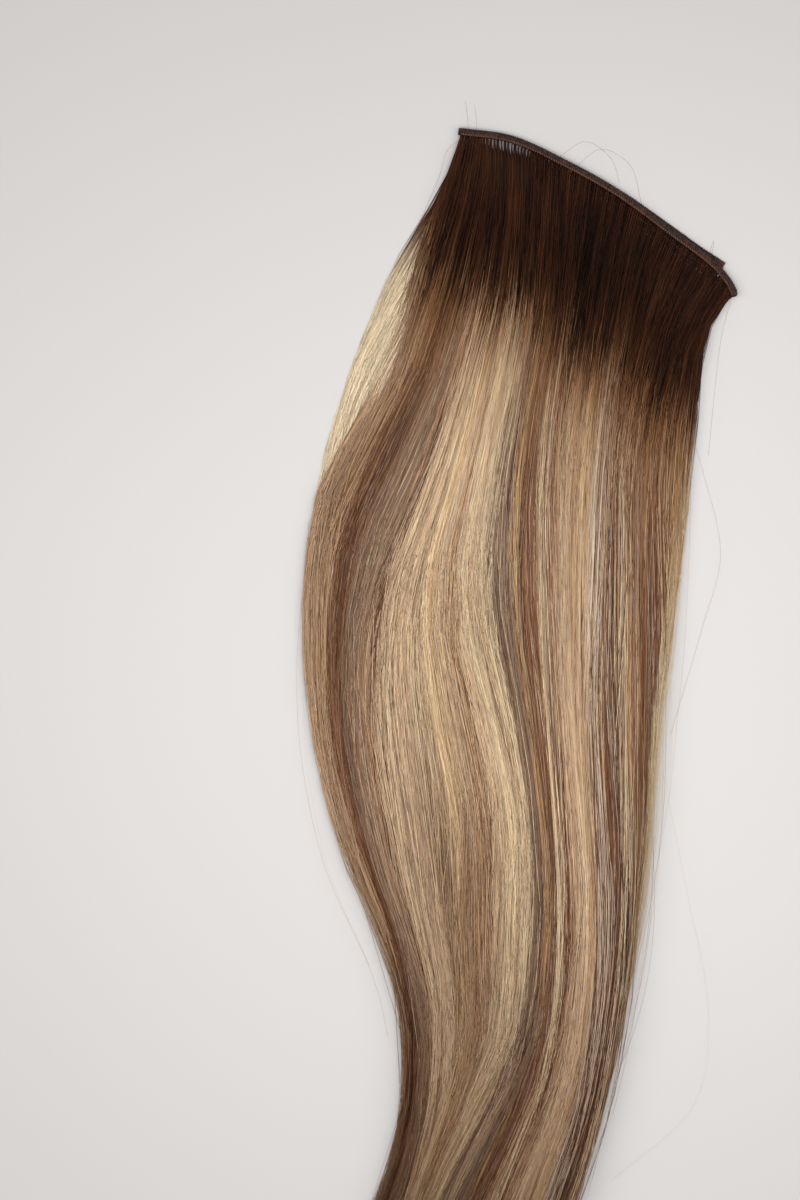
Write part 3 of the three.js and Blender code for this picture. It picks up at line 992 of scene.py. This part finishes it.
def strand_tones(curtain, guide, each, rng):
    """Place of each strand on the chart: its own, or for some wisps and strands one from further off."""

    def jumps(count, share, far, close=0.003):
        return np.where(rng.uniform(0, 1, count) < share, far, close) * rng.normal(0, 1, count)

    count = len(guide)
    moved = np.repeat(jumps(count // each, 0.12, 0.03), each) + jumps(count, 0.27, 0.045)
    toned = np.clip(chart_across(guide) + moved, FAIR_SHARE + 0.003, 0.997)
    if curtain.name == "lower":
        toned = np.where(guide < FAIR_GUIDE, rng.uniform(0.003, FAIR_SHARE * 0.85, count), toned)
    return toned


class WEFT_OT_strands(bpy.types.Operator):
    """Lays the strands of one curtain, in wisps that are gathered into tufts at the band"""

    bl_idname = "weft.strands"
    bl_label = "Strands"

    layer: curtain_choice("The curtain that the strands belong to")
    part: IntProperty(name="Part", description="Number of this piece of strands", default=1, min=1)

    PART_SEED = 40
    LAYER_SEEDS = {"upper": 7, "lower": 11}

    def execute(self, context):
        sizes = context.scene.weft_sizes
        rng = np.random.default_rng(self.PART_SEED * self.part + self.LAYER_SEEDS[self.layer])
        curtain = Curtain(self.layer, sizes)
        wisps = spread_wisps(curtain, sizes.wisps, rng)
        paths, radii, chart = strand_paths(curtain, sizes, wisps, rng)
        name = f"{self.layer}_strands_{self.part}"
        piece = piece_from(name, lofted_mesh(name, tube_rings(paths, radii, STRAND_SIDES), chart))
        piece.data.materials.append(hair_material(context.scene.weft_colours))
        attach(piece, "root")
        return {"FINISHED"}


# Locks

# Body of a lock: stations along it, points over it, its distance from the band and from its strands' tips
LOCK_STATIONS = 64
LOCK_POINTS = 15
LOCK_START = 8.5
LOCK_END = 40.0

# Distance over which a lock's end narrows, and the share of its width and height that it loses there
LOCK_TAPER = 90
LOCK_NARROWS = 0.6

# Share of its width by which a lock goes under its neighbours, and the guides it keeps from the outer edges
LOCK_OVERLAP = 0.06
LOCK_EDGE = 0.02

# Depth of a lock's body below its strands, which doubles towards the band between two distances
LOCK_SINK = 0.6
DEEPER_REACH = (220, 90)

# Least heights of a lock's top and underside, the least step between them, and its least thickness
LEAST_TOP, LEAST_BASE = 0.3, 0.04
LEAST_STEP, LEAST_THICKNESS = 0.2, 0.15


def lock_rings(curtain, number):
    """Rings and chart of one lock's body, which lies a little below its strands."""
    row = curtain.locks[number]
    along = np.linspace(LOCK_START, curtain.length - row["shorter"] - LOCK_END, LOCK_STATIONS)
    kept = (1 - LOCK_NARROWS * smoothstep(along, along[-1] - LOCK_TAPER, along[-1]))[:, None]
    across = np.linspace(-1, 1, LOCK_POINTS)
    overlap = LOCK_OVERLAP * (row["end"] - row["start"])
    start = max(row["start"] - overlap, LOCK_EDGE)
    end = min(row["end"] + overlap, LAST_GUIDE - LOCK_EDGE)
    guide = curtain.drawn_in((start + end + (end - start) * across * kept) / 2, along[:, None])
    far = np.broadcast_to(along[:, None], guide.shape)
    place = curtain.plan.place(guide, far)
    place = place + curtain.give_way(guide, far)[..., None] * GIVE_WAY
    lock = np.full(guide.shape, number)
    sink = LOCK_SINK * (1 + smoothstep(far, *DEEPER_REACH))
    top = np.maximum(curtain.top(lock, guide, far) - sink, LEAST_TOP)
    base = np.clip(curtain.base(lock, far) * curtain.droop(guide, far), LEAST_BASE, top - LEAST_STEP)
    rounding = np.sqrt(1 - across ** 4)
    top = base + np.maximum(top - base, LEAST_THICKNESS) * rounding * kept
    under = np.maximum(base - TABLE_GAP, TABLE_GAP)
    fair = (guide < FAIR_GUIDE) & (curtain.name == "lower")
    toned = np.where(fair, FAIR_SHARE / 2, chart_across(guide))
    chart = np.stack([toned, far / curtain.length], axis=-1)

    def closed(over, below):
        """Points over the top, and back along the underside without its two ends."""
        return np.concatenate([over, below[:, -2:0:-1]], axis=1)

    over, below = (np.concatenate([place, height[..., None]], axis=-1) for height in (top, under))
    return closed(over, below), closed(chart, chart)


class WEFT_OT_locks(bpy.types.Operator):
    """Lofts the locks of one curtain, the body of the hair under its strands"""

    bl_idname = "weft.locks"
    bl_label = "Locks"

    layer: curtain_choice("The curtain that the locks belong to")

    # Height of the strands that are raised on the locks, and the painted shade that darkens the locks under
    # the real ones
    BUMP = 0.4 * MM
    PAINTED_SHADE = 0.7

    def execute(self, context):
        curtain = Curtain(self.layer, context.scene.weft_sizes)
        made = [lock_rings(curtain, number) for number in range(len(curtain.locks))]
        rings, chart = (np.stack(parts) for parts in zip(*made))
        name = f"{self.layer}_locks"
        piece = piece_from(name, lofted_mesh(name, rings, chart))
        material = hair_material(context.scene.weft_colours, "shadowed_hair_body", self.BUMP, self.PAINTED_SHADE)
        piece.data.materials.append(material)
        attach(piece, "root")
        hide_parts(f"{self.layer}_hair")
        return {"FINISHED"}


# Flyaway hairs

def fringe_rows(rng, count):
    """Hairs of the right edge's fringe: guide, start, end, outward, lift and the guide of their tone."""
    rows = []
    for _ in range(count):
        start = rng.uniform(80, 420)
        guide, toned = rng.uniform(4.88, 5), rng.uniform(4.8, 4.89)
        rows.append((guide, start, start + rng.uniform(90, 200), rng.uniform(0, 4.5), 0, toned))
    return rows


def stray_rows(rng, count):
    """Hairs that leave the right edge, the left edge or the face, with the same columns as the fringe."""
    rows = []
    for number in range(count):
        right = number % 3 == 0
        left = number % 6 == 4
        bounds = (4.75, 5) if right else (0, 0.3) if left else (0.3, 4.7)
        guide = rng.uniform(*bounds)
        outward = 1 + 14 * rng.uniform(0, 1) ** 2 if right or left else rng.uniform(-9, 9)
        start = rng.uniform(70, 280)
        side = 1 if right else -1
        end, lift = start + rng.uniform(120, 330), rng.uniform(0.5, 3)
        rows.append((guide, start, end, outward * side, lift, rng.uniform(0.1, 4.9)))
    return rows


class WEFT_OT_flyaways(bpy.types.Operator):
    """Adds the single hairs: some that stand off the band, a fringe at the right edge and strays"""

    bl_idname = "weft.flyaways"
    bl_label = "Flyaway hairs"

    SEED = 905
    FRINGE_HAIRS = 200
    STRAY_HAIRS = 72
    POINTS = 26

    # Height of a hair over the locks, and the length by which it stays short of the tips
    OVER = 0.3
    SHORT = 20

    def drawn_paths(self):
        """Hairs drawn through given places."""
        paths = []
        for row in DRAWN_FLYAWAYS:
            places = [(x, y, z) for (x, y), z in zip(row["places"], row["heights"])]
            paths.append(curve_through(places, np.linspace(0, len(places) - 1, self.POINTS)))
        return paths

    def stray_paths(self, curtain, rng):
        """Hairs that leave the upper curtain's flow and come back to it, and their places on the chart."""
        paths, charts, tones = [], [], []
        rows = fringe_rows(rng, self.FRINGE_HAIRS) + stray_rows(rng, self.STRAY_HAIRS)
        share = np.linspace(0, 1, self.POINTS)
        for guide, start, end, outward, lift, toned in rows:
            along = start + (min(end, curtain.length - self.SHORT) - start) * share
            followed = curtain.drawn_in(np.full(self.POINTS, guide), along)
            bulge = np.sin(share * math.pi * rng.uniform(0.55, 1.0)) ** 1.3
            aside = curtain.plan.rightward(followed, along) * (outward * bulge)[:, None]
            place = curtain.plan.place(followed, along) + aside
            height = curtain.top(curtain.lock_of(followed), followed, along) + self.OVER + lift * bulge
            paths.append(np.concatenate([place, height[:, None]], axis=1))
            charts.append(along / curtain.length)
            tones.append(chart_across(toned))
        return paths, charts, tones

    def execute(self, context):
        sizes = context.scene.weft_sizes
        rng = np.random.default_rng(self.SEED)
        curtain = Curtain("upper", sizes)
        strays, charts, tones = self.stray_paths(curtain, rng)
        paths = np.array(self.drawn_paths() + strays)
        radii = np.full(paths.shape[:2], sizes.flyaway / MM / 2)
        drawn_tones = np.resize(chart_across(np.arange(1, LAST_GUIDE)), len(DRAWN_FLYAWAYS))
        across = np.concatenate([drawn_tones, tones])
        along = np.array([np.full(self.POINTS, row["chart"]) for row in DRAWN_FLYAWAYS] + charts)
        chart = tube_chart(across, along, STRAND_SIDES, 0.0008)
        mesh = lofted_mesh("flyaway_hairs", tube_rings(paths, radii, STRAND_SIDES), chart)
        piece = piece_from("flyaway_hairs", mesh)
        piece.data.materials.append(hair_material(context.scene.weft_colours))
        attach(piece, "root")
        return {"FINISHED"}


# Band

def turned(places, angle, centre):
    """Plan places turned about a centre."""
    cos, sin = math.cos(angle), math.sin(angle)
    x, y = places[:, 0] - centre[0], places[:, 1] - centre[1]
    return np.stack([centre[0] + x * cos - y * sin, centre[1] + x * sin + y * cos], axis=-1)


def extrude_to(place, previous, turn, axis):
    """Extrudes the selected end face to a place and turns it about an axis there, in metres."""
    step = [b - a for a, b in zip(previous, place)]
    bpy.ops.mesh.extrude_region_move(TRANSFORM_OT_translate={"value": step})
    if abs(turn) > 1e-9:
        bpy.ops.transform.rotate(value=-turn, orient_axis=axis, orient_type="GLOBAL", center_override=place)


class WEFT_OT_band(bpy.types.Operator):
    """Sweeps the band's flat section along its lower half, round the fold and back along its upper half"""

    bl_idname = "weft.band"
    bl_label = "Sewn band"

    RUN_STEPS = 60
    FOLD_STEPS = 10

    # Rounding of the upper cut end, as a share of the width, and of all the edges, in metres
    END_ROUND, END_STEPS = 0.4, 5
    EDGE_ROUND, EDGE_STEPS = 0.28 * MM, 2
    SMOOTH_ANGLE = math.radians(40)

    # An edge stands at the cut end if it is so many widths from its middle and so many thicknesses high
    END_REACH = 0.6
    END_HEIGHT = 0.9

    def run_stations(self, run, shares, fold, heading, height):
        """Places in metres and headings along a run, in a frame where the fold points along X."""
        plan = turned(run.place(shares), -heading, fold) * MM
        headings = run.heading(shares) - heading
        return [(x, y, height) for x, y in plan.tolist()], headings

    def follow(self, places, headings):
        """Extrudes the section from place to place along a run."""
        for previous, place, turn in zip(places, places[1:], np.diff(headings)):
            extrude_to(place, previous, turn, "Z")

    def sweep(self, lower, upper, sizes):
        """Extrudes the section from the lower cut end to the upper one."""
        fold = upper.place(0.0)
        heading = float(upper.heading(0.0))
        low = sizes.band_thickness / 2
        radius = (sizes.band_thickness + sizes.fold_gap) / 2
        shares = np.linspace(1, 0, self.RUN_STEPS + 1)
        places, headings = self.run_stations(lower, shares, fold, heading, low)
        bpy.ops.mesh.primitive_plane_add(size=1, location=places[0], rotation=(0, -math.pi / 2, headings[0]))
        piece = bpy.context.object
        piece.scale = (sizes.band_thickness, sizes.band_width, 1)
        bpy.ops.object.transform_apply(location=True, rotation=True, scale=True)
        bpy.ops.object.mode_set(mode="EDIT")
        bpy.ops.mesh.select_all(action="SELECT")
        self.follow(places, headings)
        here = places[-1]
        for step in range(1, self.FOLD_STEPS + 1):
            angle = math.pi * step / self.FOLD_STEPS
            x = places[-1][0] - radius * math.sin(angle)
            place = (x, places[-1][1], low + radius * (1 - math.cos(angle)))
            extrude_to(place, here, math.pi / self.FOLD_STEPS, "Y")
            here = place
        places, headings = self.run_stations(upper, shares[::-1], fold, heading, low + 2 * radius)
        self.follow(places, headings)
        self.round_end(piece, places[-1], sizes)
        bpy.ops.mesh.select_all(action="SELECT")
        centre = (fold[0] * MM, fold[1] * MM, 0)
        bpy.ops.transform.rotate(
            value=-heading, orient_axis="Z", orient_type="GLOBAL", center_override=centre
        )
        bpy.ops.mesh.normals_make_consistent(inside=False)
        bpy.ops.object.mode_set(mode="OBJECT")
        return piece

    def round_end(self, piece, end, sizes):
        """Rounds the two standing edges of the upper cut end."""
        bpy.ops.mesh.select_mode(type="EDGE")
        bpy.ops.mesh.select_all(action="DESELECT")
        bpy.ops.object.mode_set(mode="OBJECT")
        corners = piece.data.vertices
        for edge in piece.data.edges:
            places = [corners[number].co for number in edge.vertices]
            at_end = all(math.dist(place, end) < self.END_REACH * sizes.band_width for place in places)
            height = abs(places[0].z - places[1].z)
            edge.select = at_end and height > self.END_HEIGHT * sizes.band_thickness
        bpy.ops.object.mode_set(mode="EDIT")
        rounding = self.END_ROUND * sizes.band_width
        bpy.ops.mesh.bevel(offset=rounding, segments=self.END_STEPS, affect="EDGES")

    def execute(self, context):
        sizes = context.scene.weft_sizes
        bpy.ops.object.select_all(action="DESELECT")
        piece = self.sweep(BandRun(LOWER_RUN), BandRun(UPPER_RUN), sizes)
        piece.name = piece.data.name = "sewn_band"
        bpy.ops.object.modifier_add(type="BEVEL")
        bevel = piece.modifiers[-1]
        bevel.width = self.EDGE_ROUND
        bevel.segments = self.EDGE_STEPS
        bevel.limit_method = "ANGLE"
        bpy.ops.object.modifier_apply(modifier=bevel.name)
        bpy.ops.object.shade_smooth_by_angle(angle=self.SMOOTH_ANGLE)
        piece.data.materials.append(band_material(context.scene.weft_colours))
        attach(piece, "root")
        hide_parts("weft_band")
        return {"FINISHED"}


class WEFT_OT_stitches(bpy.types.Operator):
    """Sews the band: slanting stitches over its outer edge and a seam of short stitches at the hair"""

    bl_idname = "weft.stitches"
    bl_label = "Stitches"

    SEED = 61
    SIDES = 5

    # Share of the thread's thickness at a stitch's two ends, and a direction that no stitch runs along
    END_SIZE = 0.5
    UP = (0.1, 0.2, 1)

    # Place of the first stitch in stitches from the fold, and how many are left out at the cut end
    FIRST = 0.75
    LEFT_OUT = 2

    def stitch_paths(self, run, base, sizes, path):
        """Paths of one stitch after another along a run. The path gives along, aside and height."""
        pitch = sizes.stitch_pitch / MM
        count = int(run.length / pitch) - self.LEFT_OUT
        travelled = (np.arange(count) + self.FIRST)[:, None] * pitch + path[None, :, 0]
        share = travelled / run.length
        plan = run.place(share) + run.hair_side(share) * path[None, :, 1, None]
        height = np.broadcast_to(base + path[None, :, 2], share.shape)
        return np.concatenate([plan, height[..., None]], axis=-1)

    def add_piece(self, name, paths, radius, rng, material):
        """A joined mesh of stitches with rounded ends."""
        radii = np.full(paths.shape[:2], radius)
        radii[:, [0, -1]] *= self.END_SIZE
        across = rng.uniform(0.01, 0.99, len(paths))
        along = np.broadcast_to(np.linspace(0.02, 0.98, paths.shape[1]), radii.shape)
        rings = tube_rings(paths, radii, self.SIDES, self.UP)
        piece = piece_from(name, lofted_mesh(name, rings, tube_chart(across, along, self.SIDES, 0.004)))
        piece.data.materials.append(material)
        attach(piece, "root")

    def execute(self, context):
        sizes = context.scene.weft_sizes
        colours = context.scene.weft_colours
        rng = np.random.default_rng(self.SEED)
        half, thick = sizes.band_width / MM / 2, sizes.band_thickness / MM
        radius, pitch = sizes.thread / MM / 2, sizes.stitch_pitch / MM
        step = thick + sizes.fold_gap / MM
        # Paths of a stitch over the outer edge and of one of the seam: along, aside and height
        edge = np.array([
            (0.62 * pitch, 0.35 * half, thick),
            (0.5 * pitch, 0.1 * half, thick + 0.6 * radius),
            (0.2 * pitch, -0.7 * half, thick + 0.5 * radius),
            (0.06 * pitch, -half - 0.2 * radius, thick * 0.82),
            (0, -half - 0.4 * radius, thick * 0.5),
            (0, -half, thick * 0.25),
        ])
        seam = np.array([
            (0.05 * pitch, 0.42 * half, thick),
            (0.15 * pitch, 0.5 * half, thick + 0.6 * radius),
            (0.35 * pitch, 0.66 * half, thick + 0.8 * radius),
            (0.55 * pitch, 0.82 * half, thick + 0.5 * radius),
            (0.65 * pitch, 0.9 * half, thick),
        ])
        runs = [(BandRun(LOWER_RUN), 0), (BandRun(UPPER_RUN), step)]
        for kind, path, light in (("edge", edge, colours.band_light), ("seam", seam, colours.seam)):
            paths = np.concatenate([self.stitch_paths(run, base, sizes, path) for run, base in runs])
            thread = thread_material(f"{kind}_thread", colours.band, light)
            self.add_piece(f"{kind}_stitches", paths, radius, rng, thread)
        return {"FINISHED"}


# Stage

class WEFT_OT_stage(bpy.types.Operator):
    """Sets the pale table, the soft lights and the camera that looks straight down"""

    bl_idname = "weft.stage"
    bl_label = "Stage"

    VIEW_PLACE = (-0.05975, 0.0955, 1.206)
    LENS = 72

    TABLE_SIZE = 40
    TABLE_DEPTH = 0.3 * MM

    # Soft lights: name, place, target, extent and power
    LIGHTS = (
        ("left_light", (-1.3, 0, 1.1), (0, 0.05, 0), 1.0, 9.9),
        ("right_light", (1.3, 0, 1.1), (0, 0.05, 0), 1.0, 8.0),
        ("top_light", (0.02, 0.06, 0.52), (0.02, 0.06, 0), 0.4, 1.72),
    )
    SKY_COLOUR = (1.0, 0.985, 0.97, 1)
    SKY_STRENGTH = 0.41

    def add_table(self, colours):
        """Pale table just under the weft."""
        bpy.ops.mesh.primitive_plane_add(size=self.TABLE_SIZE, location=(0, 0, -self.TABLE_DEPTH))
        table = bpy.context.object
        table.name = table.data.name = "table"
        bpy.ops.object.transform_apply(location=True, rotation=True, scale=True)
        table.data.materials.append(table_material(colours))

    def add_light(self, name, place, target, extent, power):
        """Soft square light that points at a target."""
        bpy.ops.object.light_add(type="AREA", location=place)
        light = bpy.context.object
        light.name = light.data.name = name
        light.data.size = extent
        light.data.energy = power
        aim = [t - p for t, p in zip(target, place)]
        flat = math.hypot(aim[0], aim[1])
        light.rotation_euler = (math.atan2(flat, -aim[2]), 0, math.atan2(aim[1], aim[0]) - math.pi / 2)

    def add_camera(self, scene):
        """Camera over the weft."""
        bpy.ops.object.camera_add(location=self.VIEW_PLACE, rotation=(0, 0, 0))
        camera = bpy.context.object
        camera.name = camera.data.name = "camera"
        camera.data.lens = self.LENS
        scene.camera = camera

    def execute(self, context):
        scene = context.scene
        bpy.ops.object.select_all(action="DESELECT")
        self.add_table(scene.weft_colours)
        for light in self.LIGHTS:
            self.add_light(*light)
        self.add_camera(scene)
        world = scene.world or bpy.data.worlds.new("studio")
        scene.world = world
        world.use_nodes = True
        sky = world.node_tree.nodes["Background"]
        fill(world.node_tree, sky, Color=self.SKY_COLOUR, Strength=self.SKY_STRENGTH)
        scene.view_settings.view_transform = "Standard"
        return {"FINISHED"}


STEPS = (
    WEFT_OT_stage,
    WEFT_OT_band,
    WEFT_OT_stitches,
    WEFT_OT_locks,
    WEFT_OT_strands,
    WEFT_OT_flyaways,
)


class WEFT_PT_panel(bpy.types.Panel):
    """Lists the steps that dress the weft, with its sizes and colours"""

    bl_idname = "WEFT_PT_panel"
    bl_label = "Hair Weft"
    bl_space_type = "VIEW_3D"
    bl_region_type = "UI"
    bl_category = "Hair Weft"

    def draw(self, context):
        column = self.layout.column()
        for step in STEPS:
            column.operator(step.bl_idname)
        for group in (context.scene.weft_sizes, context.scene.weft_colours):
            for name in group.__annotations__:
                column.prop(group, name)


CLASSES = (WeftSizes, WeftColours, *STEPS, WEFT_PT_panel)


def register():
    for kind in CLASSES:
        bpy.utils.register_class(kind)
    bpy.types.Scene.weft_sizes = PointerProperty(type=WeftSizes)
    bpy.types.Scene.weft_colours = PointerProperty(type=WeftColours)


def unregister():
    del bpy.types.Scene.weft_colours
    del bpy.types.Scene.weft_sizes
    for kind in reversed(CLASSES):
        bpy.utils.unregister_class(kind)


def main():
    register()
    bpy.ops.weft.stage()
    bpy.ops.weft.band()
    bpy.ops.weft.stitches()
    bpy.ops.weft.locks(layer="lower")
    bpy.ops.weft.locks(layer="upper")
    bpy.ops.weft.strands(layer="lower", part=1)
    for part in (1, 2, 3):
        bpy.ops.weft.strands(layer="upper", part=part)
    bpy.ops.weft.flyaways()


if __name__ == "__main__":
    main()
